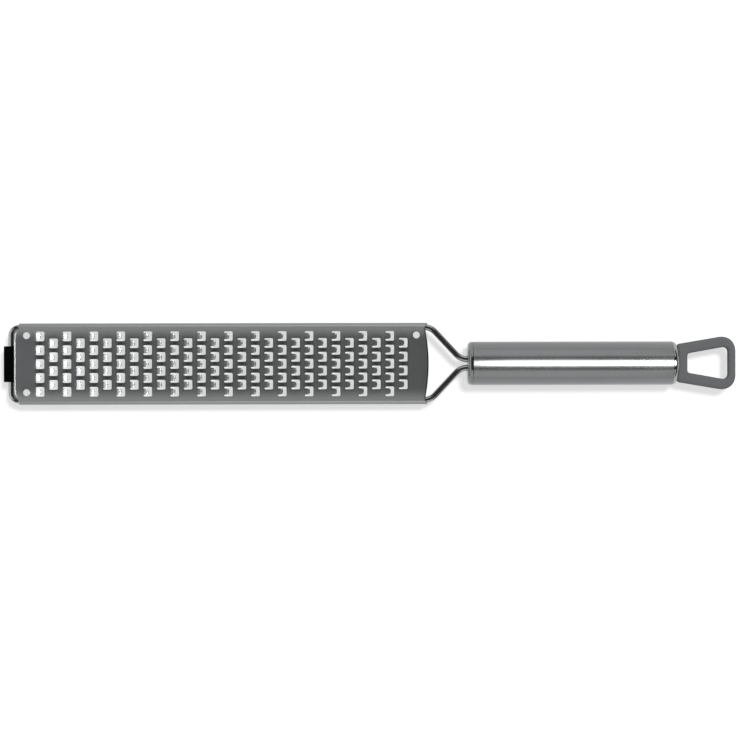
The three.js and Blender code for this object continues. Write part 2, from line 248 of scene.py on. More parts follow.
def mixColour(tree, factor, first, second):
    node = tree.nodes.new("ShaderNodeMix")
    node.data_type = "RGBA"
    tree.links.new(factor, node.inputs["Factor"])
    for socket, colour in ((node.inputs[6], first), (node.inputs[7], second)):
        if isinstance(colour, tuple):
            socket.default_value = (*colour, 1)
        else:
            tree.links.new(colour, socket)
    return node.outputs[2]


def addBump(tree, shader, height, strength, distance):
    bump = tree.nodes.new("ShaderNodeBump")
    bump.inputs["Strength"].default_value = strength
    bump.inputs["Distance"].default_value = distance * mm
    tree.links.new(height, bump.inputs["Height"])
    tree.links.new(bump.outputs["Normal"], shader.inputs["Normal"])


steelMix = {"contrast": 1.8, "smudgeShare": 0.5, "bumpDepth": 0.01}
mouldedMix = {"contrast": 1.6, "bumpDepth": 0.03}


def makeSteel(name, finish):
    material, tree, shader = startMaterial(name)
    shader.inputs["Metallic"].default_value = 1
    grain = groupNode(tree, grainGroup, Scale=finish["grain"]).outputs["Grain"]
    smudge = groupNode(tree, smudgeGroup, Scale=finish["smudge"],
                       Contrast=steelMix["contrast"]).outputs["Smudge"]
    tone = mixColour(tree, smudge, finish["dark"], finish["light"])
    tree.links.new(mixColour(tree, grain, tone, finish["light"]), shader.inputs["Base Color"])
    blend = tree.nodes.new("ShaderNodeMix")
    blend.inputs["Factor"].default_value = steelMix["smudgeShare"]
    tree.links.new(grain, blend.inputs["A"])
    tree.links.new(smudge, blend.inputs["B"])
    rough = mapRange(tree, blend.outputs["Result"], *finish["rough"])
    tree.links.new(rough, shader.inputs["Roughness"])
    addBump(tree, shader, grain, finish["bump"], steelMix["bumpDepth"])
    return material


def makeMoulded(name, finish):
    material, tree, shader = startMaterial(name)
    shader.inputs["Specular IOR Level"].default_value = finish["specular"]
    skin = groupNode(tree, skinGroup, Scale=finish["skin"]).outputs["Skin"]
    smudge = groupNode(tree, smudgeGroup, Scale=finish["smudge"],
                       Contrast=mouldedMix["contrast"]).outputs["Smudge"]
    tone = mixColour(tree, smudge, finish["dark"], finish["light"])
    tree.links.new(mixColour(tree, skin, tone, finish["light"]), shader.inputs["Base Color"])
    tree.links.new(mapRange(tree, smudge, *finish["rough"]), shader.inputs["Roughness"])
    addBump(tree, shader, skin, finish["bump"], mouldedMix["bumpDepth"])
    return material


# Grating blade
bladeSpec = {
    "columns": 28, "rows": 5, "columnPitch": 6.98, "rowPitch": 7.2, "firstColumn": 13.27,
    "windowLength": 4.45, "windowWidth": 5.0, "windowCorner": 0.65, "cornerSteps": 3,
    "toothReach": 2.6, "toothLift": 1.1, "toothRoot": 3.5, "toothTip": 2.7, "toothNose": 0.5,
    # the two reaches set how far the painted shade on the webs spreads, and the outer share weakens it on the
    # outermost webs
    "toothSteps": 4, "rootCuts": 5, "rootRise": 0.12, "webReachX": 3.2, "webReachY": 2.4, "outerWeb": 0.3,
    "sheet": 0.5, "crown": 0.6, "crownPower": 4,
    "curlRadius": 2.29, "curlAngle": 235, "curlSteps": 14,
    "holeDiameter": 3.5, "holeSides": 32, "dimpleDiameter": 5.4, "dimpleDepth": 0.15,
    "dish": ((0.9, -0.2), (0.78, -0.6)),
    "holeTipInset": 6.2, "holeNeckInset": 6.45, "holeSpread": 14.8,
    "tipBow": 2.0, "tipBowStart": 12.0, "neckBow": 1.9,
    "tipSlant": 0.2, "tipSlantZone": 2.1, "neckSlant": 1.2, "neckSlantZone": 5.0,
    # the painted sheen by the rolled edges starts 13.5 from the middle, and the curl itself gets only a little
    # of it
    "paintedSheenFrom": 13.5, "curlPaintedSheen": 0.1, "curlStart": 0.2, "lipZone": 4.0,
    "neckLip": ((0.4, -0.06), (0.35, -0.3), (0.15, -0.45)),
    "tipLip": ((-0.3, -0.02), (-0.2, -0.06), (-0.25, -0.2)),
    "soft": (0.06, 1, 50),
}
# Two tones here are painted light: the near-black one is painted shade on the webs between windows, and the
# palest one is painted sheen on the margins by the rolled edges.
bladeFinish = {
    "dark": (0.235, 0.248, 0.25), "light": (0.275, 0.288, 0.29), "paintedWebShade": (0.06, 0.064, 0.065),
    "tooth": (0.3, 0.31, 0.315), "paintedEdgeSheen": (0.58, 0.59, 0.595),
    "rough": (0.26, 0.37), "grain": (160, 2600, 900), "smudge": 55, "contrast": 1.6, "bump": 0.08,
    "paintedWebShadeShare": 0.9, "toothShare": 0.8, "paintedEdgeSheenShare": 0.9, "smudgeShare": 0.4,
}


def makeBladeSteel():
    finish = bladeFinish
    material, tree, shader = startMaterial("punchedBladeSteel")
    shader.inputs["Metallic"].default_value = 1
    grain = groupNode(tree, grainGroup, Scale=finish["grain"]).outputs["Grain"]
    smudge = groupNode(tree, smudgeGroup, Scale=finish["smudge"],
                       Contrast=finish["contrast"]).outputs["Smudge"]
    # painted shade: a mask darkens the webs between windows towards a near-black tone
    paintedWebShade = tree.nodes.new("ShaderNodeAttribute")
    paintedWebShade.attribute_name = "paintedWebShadeMask"
    rise = tree.nodes.new("ShaderNodeAttribute")
    rise.attribute_name = "toothRise"
    tone = mixColour(tree, smudge, finish["dark"], finish["light"])
    # painted sheen: a mask lightens the margins towards the rolled edges
    rolled = tree.nodes.new("ShaderNodeAttribute")
    rolled.attribute_name = "paintedSheenMask"
    tone = mixColour(tree, mapRange(tree, paintedWebShade.outputs["Fac"], 0, finish["paintedWebShadeShare"]), tone, finish["paintedWebShade"])
    tone = mixColour(tree, mapRange(tree, rise.outputs["Fac"], 0, finish["toothShare"]), tone, finish["tooth"])
    paintedSheenLevel = mapRange(tree, rolled.outputs["Fac"], 0, finish["paintedEdgeSheenShare"])
    tone = mixColour(tree, paintedSheenLevel, tone, finish["paintedEdgeSheen"])
    tree.links.new(tone, shader.inputs["Base Color"])
    blend = tree.nodes.new("ShaderNodeMix")
    blend.inputs["Factor"].default_value = finish["smudgeShare"]
    tree.links.new(grain, blend.inputs["A"])
    tree.links.new(smudge, blend.inputs["B"])
    tree.links.new(mapRange(tree, blend.outputs["Result"], *finish["rough"]), shader.inputs["Roughness"])
    addBump(tree, shader, grain, finish["bump"], steelMix["bumpDepth"])
    return material


def ringPatch(bm, sizeX, sizeY):
    # eight edges round an empty rectangle
    patch = bmesh.ops.create_grid(bm, x_segments=2, y_segments=2, size=0.5)["verts"]
    bmesh.ops.scale(bm, vec=(sizeX, sizeY, 1), verts=patch)
    middle = [vert for vert in patch if vert.co.length < near]
    bmesh.ops.delete(bm, geom=middle, context="VERTS")
    return [vert for vert in patch if vert.is_valid]


def loopEdges(verts):
    return list({edge for vert in verts for edge in vert.link_edges})


def punchCell(bm, paintedWebShade, rise):
    # one window with its tooth in the middle of its share of the sheet
    spec = bladeSpec
    ringPatch(bm, spec["columnPitch"], spec["rowPitch"])
    outline = bmesh.ops.create_grid(bm, x_segments=1, y_segments=1, size=0.5)["verts"]
    bmesh.ops.scale(bm, vec=(spec["windowLength"], spec["windowWidth"], 1), verts=outline)
    roundCorners(bm, outline, spec["windowCorner"], spec["cornerSteps"])
    bmesh.ops.delete(bm, geom=bm.faces[:], context="FACES_ONLY")
    rootX = -spec["windowLength"] / 2
    rootHalf = spec["windowWidth"] / 2 - spec["windowCorner"]
    atSide = lambda co: abs(co.x - rootX) < near and abs(co.y) < rootHalf + near
    cuts = spec["rootCuts"]
    bmesh.ops.subdivide_edges(bm, edges=edgesWhere(bm, atSide), cuts=cuts)
    inner = [vert for vert in bm.verts if atSide(vert.co) and abs(vert.co.y) < rootHalf - near]
    innerSpan = 2 * rootHalf * (cuts - 1) / (cuts + 1)
    bmesh.ops.scale(bm, vec=(1, spec["toothRoot"] / innerSpan, 1), verts=inner)
    rootHalf = spec["toothRoot"] / 2
    atRoot = lambda co: abs(co.x - rootX) < near and abs(co.y) < rootHalf + near
    bmesh.ops.bridge_loops(bm, edges=bm.edges[:])
    # painted shade mask, strongest on the webs between rows, above and below each window
    for vert in bm.verts:
        sideways = max(0, 1 - abs(vert.co.x) / spec["webReachX"])
        vert[paintedWebShade] = sideways * min(1, abs(vert.co.y) / spec["webReachY"])
        if atRoot(vert.co):
            vert.co.z += spec["rootRise"]
    front = edgesWhere(bm, atRoot)
    steps = spec["toothSteps"]
    width = 2 * rootHalf
    lift = spec["rootRise"]
    for step in range(steps):
        share = (step + 1) / steps
        nextWidth = 2 * rootHalf + (spec["toothTip"] - 2 * rootHalf) * share
        nextLift = spec["rootRise"] + (spec["toothLift"] - spec["rootRise"]) * share
        verts, front = pushEdges(bm, front, (spec["toothReach"] / steps, 0, nextLift - lift))
        bmesh.ops.scale(bm, vec=(1, nextWidth / width, 1), verts=verts)
        width, lift = nextWidth, nextLift
        # the tooth carries none of the painted shade
        for vert in verts:
            vert[paintedWebShade] = 0
            vert[rise] = share
    for vert in verts:
        vert.co.x -= spec["toothNose"] * (2 * vert.co.y / width) ** 2
    return bm.verts[:] + bm.edges[:] + bm.faces[:]


def plainPatch(bm, lowX, highX, lowY, highY):
    # plain sheet with an edge at every half row
    halves = round(2 * (highY - lowY) / bladeSpec["rowPitch"])
    verts = bmesh.ops.create_grid(bm, x_segments=2, y_segments=halves, size=0.5)["verts"]
    bmesh.ops.scale(bm, vec=(highX - lowX, highY - lowY, 1), verts=verts)
    bmesh.ops.translate(bm, verts=verts, vec=((lowX + highX) / 2, (lowY + highY) / 2, 0))


def holedPatch(bm, lowX, highX, lowY, highY, holeX, holeY):
    spec = bladeSpec
    border = ringPatch(bm, highX - lowX, highY - lowY)
    bmesh.ops.translate(bm, verts=border, vec=((lowX + highX) / 2, (lowY + highY) / 2, 0))
    rim = bmesh.ops.create_circle(bm, segments=spec["holeSides"],
                                  radius=spec["dimpleDiameter"] / 2)["verts"]
    bmesh.ops.translate(bm, verts=rim, vec=(holeX, holeY, 0))
    rimEdges = loopEdges(rim)
    bmesh.ops.bridge_loops(bm, edges=loopEdges(border) + rimEdges)
    dish = (*spec["dish"], (spec["holeDiameter"] / spec["dimpleDiameter"], -1))
    size, depth = 1, 0
    for nextSize, nextDepth in dish:
        verts, rimEdges = pushEdges(bm, rimEdges, (0, 0, (nextDepth - depth) * spec["dimpleDepth"]))
        bmesh.ops.scale(bm, vec=(nextSize / size, nextSize / size, 1), verts=verts,
                        space=Matrix.Translation((-holeX, -holeY, 0)))
        size, depth = nextSize, nextDepth


def makeBlade(material):
    spec = bladeSpec
    length = round(bladeHigh.x - bladeLow.x)
    pitchX, pitchY = spec["columnPitch"], spec["rowPitch"]
    halfRows = spec["rows"] * pitchY / 2
    bm = bmesh.new()
    # masks for the painted shade on the webs, the tooth tone and the painted sheen by the rolled edges
    paintedWebShade = bm.verts.layers.float.new("paintedWebShadeMask")
    rise = bm.verts.layers.float.new("toothRise")
    rolled = bm.verts.layers.float.new("paintedSheenMask")
    cell = punchCell(bm, paintedWebShade, rise)
    for column in range(spec["columns"]):
        x = spec["firstColumn"] + column * pitchX
        rows = spec["rows"] - column % 2
        for row in range(rows):
            copied = bmesh.ops.duplicate(bm, geom=cell)["geom"]
            bmesh.ops.translate(bm, verts=vertsOf(copied), vec=(x, (row - (rows - 1) / 2) * pitchY, 0))
        if column % 2:
            for side in (-1, 1):
                edge = sorted((side * (halfRows - pitchY / 2), side * halfRows))
                plainPatch(bm, x - pitchX / 2, x + pitchX / 2, *edge)
    bmesh.ops.delete(bm, geom=vertsOf(cell), context="VERTS")
    # both ends of the sheet, with the round locating holes
    tipEdge = spec["firstColumn"] - pitchX / 2
    neckEdge = tipEdge + spec["columns"] * pitchX
    inner = halfRows - pitchY
    spread = spec["holeSpread"]
    holedPatch(bm, 0, tipEdge, inner, halfRows, spec["holeTipInset"], spread)
    holedPatch(bm, 0, tipEdge, -halfRows, -inner, spec["holeTipInset"], -spread)
    plainPatch(bm, 0, tipEdge, -inner, inner)
    holedPatch(bm, neckEdge, length, inner, halfRows, length - spec["holeNeckInset"], spread)
    plainPatch(bm, neckEdge, length, -halfRows, inner)
    bmesh.ops.remove_doubles(bm, verts=bm.verts[:], dist=near)
    for number in range(spec["rows"]):
        for side in (-1, 1):
            ends = [face for face in bm.faces if not tipEdge < face.calc_center_median().x < neckEdge]
            parts = {part for face in ends for part in (*face.verts, *face.edges)}
            bmesh.ops.bisect_plane(bm, geom=list(parts) + ends, dist=near / 10,
                                   plane_co=(0, side * (number + 0.5) * pitchY / 2, 0), plane_no=(0, 1, 0))
    # the outermost webs get only part of the painted shade
    outerWeb = halfRows - pitchY / 2
    for vert in bm.verts:
        if abs(abs(vert.co.y) - outerWeb) < near:
            vert[paintedWebShade] *= spec["outerWeb"]
    for side in (-1, 1):
        border = edgesWhere(bm, lambda co: abs(co.y - side * halfRows) < near)
        # no painted shade along the long edges
        for vert in {vert for edge in border for vert in edge.verts}:
            vert[paintedWebShade] = 0
        pushEdges(bm, border, (0, side * (railY - halfRows), 0))
    # painted sheen mask, rising across the outer rows towards the rolled edges
    for vert in bm.verts:
        margin = abs(vert.co.y) - spec["paintedSheenFrom"]
        vert[rolled] = min(1, max(0, margin / (halfRows - spec["paintedSheenFrom"])))
    # bowed ends and a turned-down lip at each
    lipRun = {name: sum(run for run, drop in spec[name]) for name in ("tipLip", "neckLip")}
    for vert in bm.verts:
        if abs(vert.co.x) < near:
            outside = max(0, abs(vert.co.y) - spec["tipBowStart"]) / (railY - spec["tipBowStart"])
            vert.co.x += spec["tipBow"] * outside ** 2
            if abs(vert.co.y) < halfRows + near:
                vert.co.x -= lipRun["tipLip"]
        elif abs(vert.co.x - length) < near:
            vert.co.x -= spec["neckBow"] * (vert.co.y / railY) ** 2
            if abs(vert.co.y) < halfRows + near:
                vert.co.x -= lipRun["neckLip"]
    for vert in bm.verts:
        vert.co.z += spec["crown"] * (1 - abs(vert.co.y / railY) ** spec["crownPower"])
    zone = spec["lipZone"]
    for name, low, high in (("tipLip", -zone, zone), ("neckLip", length - zone, length + zone)):
        lipEdges = [edge for edge in bm.edges if edge.is_boundary
                    and all(low < vert.co.x < high and abs(vert.co.y) < halfRows + near
                            for vert in edge.verts)]
        for run, drop in spec[name]:
            lipEdges = pushEdges(bm, lipEdges, (run, 0, drop))[1]
    # long edges rolled round the wire
    for side in (-1, 1):
        rail = edgesWhere(bm, lambda co: abs(co.y - side * railY) < near)
        bmesh.ops.spin(bm, geom=rail, cent=(0, side * railY, -spec["curlRadius"]), axis=(1, 0, 0),
                       angle=-side * math.radians(spec["curlAngle"]), steps=spec["curlSteps"])
    for vert in bm.verts:
        if abs(vert.co.y) > railY - near and vert.co.z < -spec["curlStart"]:
            # the curl itself keeps only a little painted sheen
            vert[rolled] = spec["curlPaintedSheen"]
            outside = (abs(vert.co.y) - railY) / spec["curlRadius"]
            if vert.co.x < spec["tipSlantZone"]:
                vert.co.x += spec["tipSlant"] * outside
            elif vert.co.x > length - spec["neckSlantZone"]:
                vert.co.x += spec["neckSlant"] * outside
    bmesh.ops.remove_doubles(bm, verts=bm.verts[:], dist=near / 2)
    bmesh.ops.recalc_face_normals(bm, faces=bm.faces[:])
    if sum(face.normal.z * face.calc_area() for face in bm.faces) < 0:
        bmesh.ops.reverse_faces(bm, faces=bm.faces[:])
    bmesh.ops.translate(bm, verts=bm.verts[:], vec=(bladeLow.x, 0, wireZ + spec["curlRadius"]))
    blade = finishPiece("punched_blade", bm, material, "grating_blade")
    wall = blade.modifiers.new("sheetWall", "SOLIDIFY")
    wall.thickness = spec["sheet"] * mm
    wall.offset = -1
    wall.use_even_offset = True
    softenEdges(blade, *spec["soft"])
    return blade


# Wire frame
wireSpec = {"sides": 20, "tipBend": 4.0, "neckBend": 7.7, "neckAngle": 47, "tailSpacing": 4.6,
            "neckLead": 0.24, "bendSteps": 10, "soft": (0.2, 2, 60)}
wireFinish = {"dark": (0.3, 0.304, 0.306), "light": (0.36, 0.364, 0.366), "rough": (0.05, 0.1),
              "grain": (1500, 1500, 1500), "smudge": 70, "bump": 0.03}


def makeWire(material):
    spec = wireSpec
    turn = math.radians(spec["neckAngle"])
    tailY = spec["tailSpacing"] / 2
    drop = 2 * spec["neckBend"] * (1 - math.cos(turn))
    slant = (railY - tailY - drop) / math.sin(turn)
    neckRun = 2 * spec["neckBend"] * math.sin(turn) + slant * math.cos(turn)
    tailRun = wireHigh.x - frontLow.x + spec["neckLead"]
    railRun = wireHigh.x - tailRun - neckRun - tipBarX - spec["tipBend"]
    quarter = math.pi / 2
    legs = [(tailRun, 0), (spec["neckBend"], -turn), (slant, 0), (spec["neckBend"], turn), (railRun, 0),
            (spec["tipBend"], quarter), (2 * (railY - spec["tipBend"]), 0), (spec["tipBend"], quarter),
            (railRun, 0), (spec["neckBend"], turn), (slant, 0), (spec["neckBend"], -turn), (tailRun, 0)]
    bm = bmesh.new()
    ring = bmesh.ops.create_circle(bm, segments=spec["sides"], radius=wireRadius)["verts"]
    bmesh.ops.rotate(bm, verts=ring, cent=(0, 0, 0), matrix=Matrix.Rotation(quarter, 3, "Y"))
    bmesh.ops.translate(bm, verts=ring, vec=(wireHigh.x, tailY, wireZ))
    ring = bm.edges[:]
    bmesh.ops.contextual_create(bm, geom=ring)
    x, y, heading = wireHigh.x, tailY, math.pi
    for size, angle in legs:
        if angle:
            side = math.copysign(size, angle)
            centreX, centreY = x - side * math.sin(heading), y + side * math.cos(heading)
            turned = bmesh.ops.spin(bm, geom=ring, cent=(centreX, centreY, 0), axis=(0, 0, 1),
                                    angle=angle, steps=spec["bendSteps"])
            ring = edgesOf(turned["geom_last"])
            heading += angle
            x, y = centreX + side * math.sin(heading), centreY - side * math.cos(heading)
        else:
            stepX, stepY = size * math.cos(heading), size * math.sin(heading)
            ring = pushEdges(bm, ring, (stepX, stepY, 0))[1]
            x, y = x + stepX, y + stepY
    bmesh.ops.contextual_create(bm, geom=ring)
    bmesh.ops.recalc_face_normals(bm, faces=bm.faces[:])
    wire = finishPiece("bent_wire", bm, material, "wire_frame")
    softenEdges(wire, *spec["soft"])
    return wire


# Rubber foot
footSpec = {"grooveGap": 0.25, "grooveSteps": 22, "topCorner": 1.2, "topSteps": 5, "soft": (0.55, 3, 50)}
footFinish = {"dark": (0.0012, 0.0012, 0.0013), "light": (0.003, 0.003, 0.0031), "rough": (0.8, 0.92),
              "specular": 0.01, "skin": 2600, "smudge": 120, "bump": 0.35}


def makeFoot(material):
    spec = footSpec
    reach = footHigh.x - tipBarX
    radius = wireRadius + spec["grooveGap"]
    mouth = math.sqrt(radius ** 2 - reach ** 2)
    sweep = 2 * math.pi - 2 * math.atan2(mouth, reach)
    bm = bmesh.new()
    lip = bm.verts.new((footHigh.x, footLow.y, wireZ + mouth))
    groove = bmesh.ops.spin(bm, geom=[lip], cent=(tipBarX, 0, wireZ), axis=(0, 1, 0), angle=-sweep,
                            steps=spec["grooveSteps"])
    lowerLip = vertsOf(groove["geom_last"])[0]
    corners = ((footHigh.x, footLow.z), (footLow.x, footLow.z),
               (footLow.x, footHigh.z), (footHigh.x, footHigh.z))
    chain = chainVerts(bm, [(x, footLow.y, z) for x, z in corners], lowerLip)
    bm.edges.new((chain[-1], lip))
    side = bmesh.ops.contextual_create(bm, geom=bm.edges[:])["faces"]
    grown = bmesh.ops.extrude_face_region(bm, geom=side)["geom"]
    bmesh.ops.translate(bm, verts=vertsOf(grown), vec=(0, footHigh.y - footLow.y, 0))
    bmesh.ops.recalc_face_normals(bm, faces=bm.faces[:])
    shoulders = [edge for edge in bm.edges if abs(edge.verts[0].co.x - edge.verts[1].co.x) > near
                 and all(abs(vert.co.z - footHigh.z) < near for vert in edge.verts)]
    roundEdges(bm, shoulders, spec["topCorner"], spec["topSteps"])
    foot = finishPiece("clip_foot", bm, material, "tip_foot")
    softenEdges(foot, *spec["soft"])
    return foot


# Handle tube and its two caps
tubeSpec = {"wall": 0.8, "edge": 0.22, "edgeSteps": 3, "soft": (0.02, 1, 60)}
tubeFinish = {"dark": (0.203, 0.209, 0.211), "light": (0.233, 0.239, 0.241), "rough": (0.19, 0.26),
              "grain": (2600, 90, 90), "smudge": 45, "bump": 0.03}
capSpec = {"wall": 1.2, "frontFillet": 2.2, "frontSteps": 8, "rearFillet": 2.6, "rearSteps": 9,
           "dome": 0.6, "domeSteps": 4, "edge": 0.22, "edgeSteps": 3, "boreGap": 0.25, "boreSides": 28,
           "fieldRadius": 8.0, "slotWidth": 8.5, "slotHeight": 4.1, "slotRing": 5.4, "soft": (0.12, 2, 50)}
frontFinish = {"dark": (0.2, 0.206, 0.208), "light": (0.24, 0.246, 0.248), "rough": (0.1, 0.16),
               "grain": (700, 700, 700), "smudge": 80, "bump": 0.02}
rearFinish = {"dark": (0.33, 0.336, 0.338), "light": (0.4, 0.406, 0.408), "rough": (0.08, 0.14),
              "grain": (700, 700, 700), "smudge": 80, "bump": 0.02}


def makeTube(material):
    bore = handleRadius - tubeSpec["wall"]
    bm = bmesh.new()
    corners = ((tubeLow.x, bore), (tubeLow.x, handleRadius),
               (tubeHigh.x, handleRadius), (tubeHigh.x, bore))
    chain = chainVerts(bm, [(x, 0, wireZ + radius) for x, radius in corners])
    bm.edges.new((chain[-1], chain[0]))
    roundCorners(bm, chain, tubeSpec["edge"], tubeSpec["edgeSteps"])
    turnRound(bm)
    bmesh.ops.recalc_face_normals(bm, faces=bm.faces[:])
    tube = finishPiece("satin_tube", bm, material, "handle_tube")
    softenEdges(tube, *tubeSpec["soft"])
    return tube


def closeWall(bm, holes, nearX, farX):
    # the holes run through the wall, then both sides of the wall are filled round them
    pushEdges(bm, holes, (farX - nearX, 0, 0))
    for x in (nearX, farX):
        rim = [edge for edge in bm.edges if edge.is_boundary
               and all(abs(vert.co.x - x) < near for vert in edge.verts)]
        bmesh.ops.triangle_fill(bm, edges=rim, use_beauty=True, normal=(1, 0, 0))


def makeFrontCap(material):
    spec = capSpec
    wall, field = spec["wall"], spec["fieldRadius"]
    spigot = handleRadius - tubeSpec["wall"] - spec["boreGap"]
    seat, inside = tubeLow.x, frontLow.x + wall
    bm = bmesh.new()
    corners = ((frontLow.x, field), (frontLow.x, handleRadius), (seat, handleRadius), (seat, spigot),
               (frontHigh.x, spigot), (frontHigh.x, spigot - wall), (inside, spigot - wall), (inside, field))
    chain = chainVerts(bm, [(x, 0, wireZ + radius) for x, radius in corners])
    roundCorners(bm, [chain[1]], spec["frontFillet"], spec["frontSteps"])
    roundCorners(bm, [chain[2]], spec["edge"], spec["edgeSteps"])
    turnRound(bm)
    holes = []
    for side in (-1, 1):
        ring = bmesh.ops.create_circle(bm, segments=spec["boreSides"],
                                       radius=wireRadius + spec["boreGap"])["verts"]
        bmesh.ops.rotate(bm, verts=ring, cent=(0, 0, 0), matrix=Matrix.Rotation(math.pi / 2, 3, "Y"))
        bmesh.ops.translate(bm, verts=ring, vec=(frontLow.x, side * wireSpec["tailSpacing"] / 2, wireZ))
        holes += loopEdges(ring)
    closeWall(bm, holes, frontLow.x, inside)
    bmesh.ops.recalc_face_normals(bm, faces=bm.faces[:])
    cap = finishPiece("bored_front_cap", bm, material, "front_cap")
    softenEdges(cap, *spec["soft"])
    return cap


def domeValues():
    flat = handleRadius - capSpec["rearFillet"]
    radius = (flat ** 2 + capSpec["dome"] ** 2) / (2 * capSpec["dome"])
    return flat, radius, rearHigh.x - radius


def makeRearCap(material):
    spec = capSpec
    flat, domeRadius, domeX = domeValues()
    spigot = handleRadius - tubeSpec["wall"] - spec["boreGap"]
    inside = tubeHigh.x + spec["rearFillet"] - spec["wall"]
    first = math.asin(spec["slotRing"] / domeRadius)
    last = math.asin(flat / domeRadius)
    slotX = domeX + domeRadius * math.cos(first)
    bm = bmesh.new()
    start = bm.verts.new((slotX, 0, wireZ + spec["slotRing"]))
    arc = bmesh.ops.spin(bm, geom=[start], cent=(domeX, 0, wireZ), axis=(0, 1, 0),
                         angle=first - last, steps=spec["domeSteps"])
    arc = bmesh.ops.spin(bm, geom=vertsOf(arc["geom_last"]), cent=(tubeHigh.x, 0, wireZ + flat),
                         axis=(0, 1, 0), angle=-math.pi / 2, steps=spec["rearSteps"])
    corners = ((tubeHigh.x, spigot), (rearLow.x, spigot), (rearLow.x, spigot - spec["wall"]),
               (inside, spigot - spec["wall"]), (inside, spec["slotRing"]))
    chainVerts(bm, [(x, 0, wireZ + radius) for x, radius in corners], vertsOf(arc["geom_last"])[0])
    turnRound(bm)
    slot = bmesh.ops.create_grid(bm, x_segments=1, y_segments=1, size=0.5)["verts"]
    bmesh.ops.scale(bm, vec=(spec["slotHeight"], spec["slotWidth"], 1), verts=slot)
    bmesh.ops.rotate(bm, verts=slot, cent=(0, 0, 0), matrix=Matrix.Rotation(math.pi / 2, 3, "Y"))
    bmesh.ops.translate(bm, verts=slot, vec=(slotX, 0, wireZ))
    slotEdges = loopEdges(slot)
    slotFaces = list({face for edge in slotEdges for face in edge.link_faces})
    bmesh.ops.delete(bm, geom=slotFaces, context="FACES_ONLY")
    closeWall(bm, slotEdges, slotX, inside)
    bmesh.ops.recalc_face_normals(bm, faces=bm.faces[:])
    cap = finishPiece("domed_rear_cap", bm, material, "rear_cap")
    softenEdges(cap, *spec["soft"])
    return cap


# Hanging loop
loopSpec = {"neckWidth": 19.5, "endWidth": 30.2, "bar": 5.6, "endBar": 3.9, "baseBar": 5.0, "endCorner": 8.7,
            "holeCorner": 1.2, "holeEndCorner": 3.0, "seatCorner": 1.5, "cornerSteps": 8,
            "edge": 1.4, "edgeSteps": 4, "rimAngle": 1.0, "seatGap": 0.25, "seatCuts": 9, "seatDepth": 1.6,
            "tongueWidth": 8.0, "tongueHeight": 3.6, "tonguePast": 2.5, "tongueInto": 2.0,
            "pinGap": 0.25, "pinSides": 24, "soft": (0.1, 1, 60)}
loopFinish = {"dark": (0.132, 0.137, 0.139), "light": (0.158, 0.163, 0.166), "rough": (0.42, 0.56),
              "specular": 0.12, "skin": 4200, "smudge": 90, "bump": 0.12}


def domeDrop(radius):
    flat, domeRadius, domeX = domeValues()
    if radius < flat:
        return domeRadius - math.sqrt(domeRadius ** 2 - radius ** 2)
    corner = capSpec["rearFillet"]
    past = min(radius - flat, corner)
    return capSpec["dome"] + corner - math.sqrt(corner ** 2 - past ** 2)


